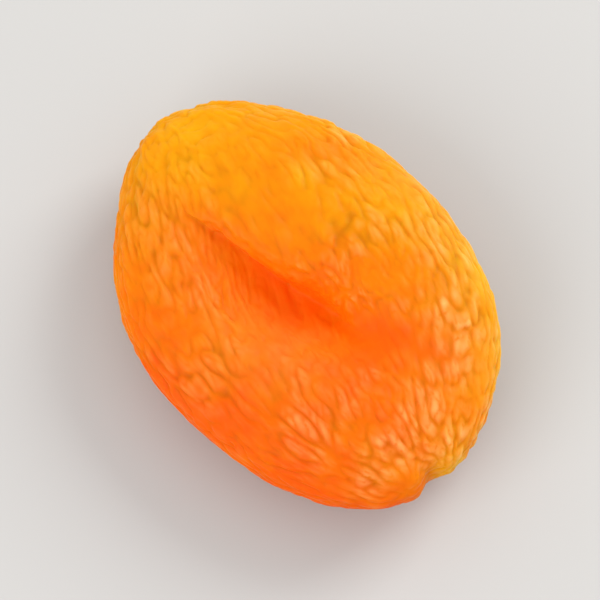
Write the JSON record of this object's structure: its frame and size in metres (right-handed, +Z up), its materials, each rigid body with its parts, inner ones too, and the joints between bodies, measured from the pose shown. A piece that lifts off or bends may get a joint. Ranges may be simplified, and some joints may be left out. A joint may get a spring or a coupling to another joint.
{
  "type": "dried apricot",
  "caption": "Whole dried apricot without its stone: a flattened, plump oval with a wedge-shaped hollow on top and finely wrinkled skin.",
  "frame": {"origin": "under the middle of the fruit's length and width, on the surface that it lies on", "axes": "+X along the length towards the notched stem end, +Y across the width towards the plump lobe that leans over the hollow, +Z up out of the hollow"},
  "size_m": [0.04, 0.0286, 0.0128],
  "materials": {
    "apricot_skin": "satin"
  },
  "bodies": {
    "root": {"dried_apricot": "apricot_skin"}
  },
  "joints": []
}
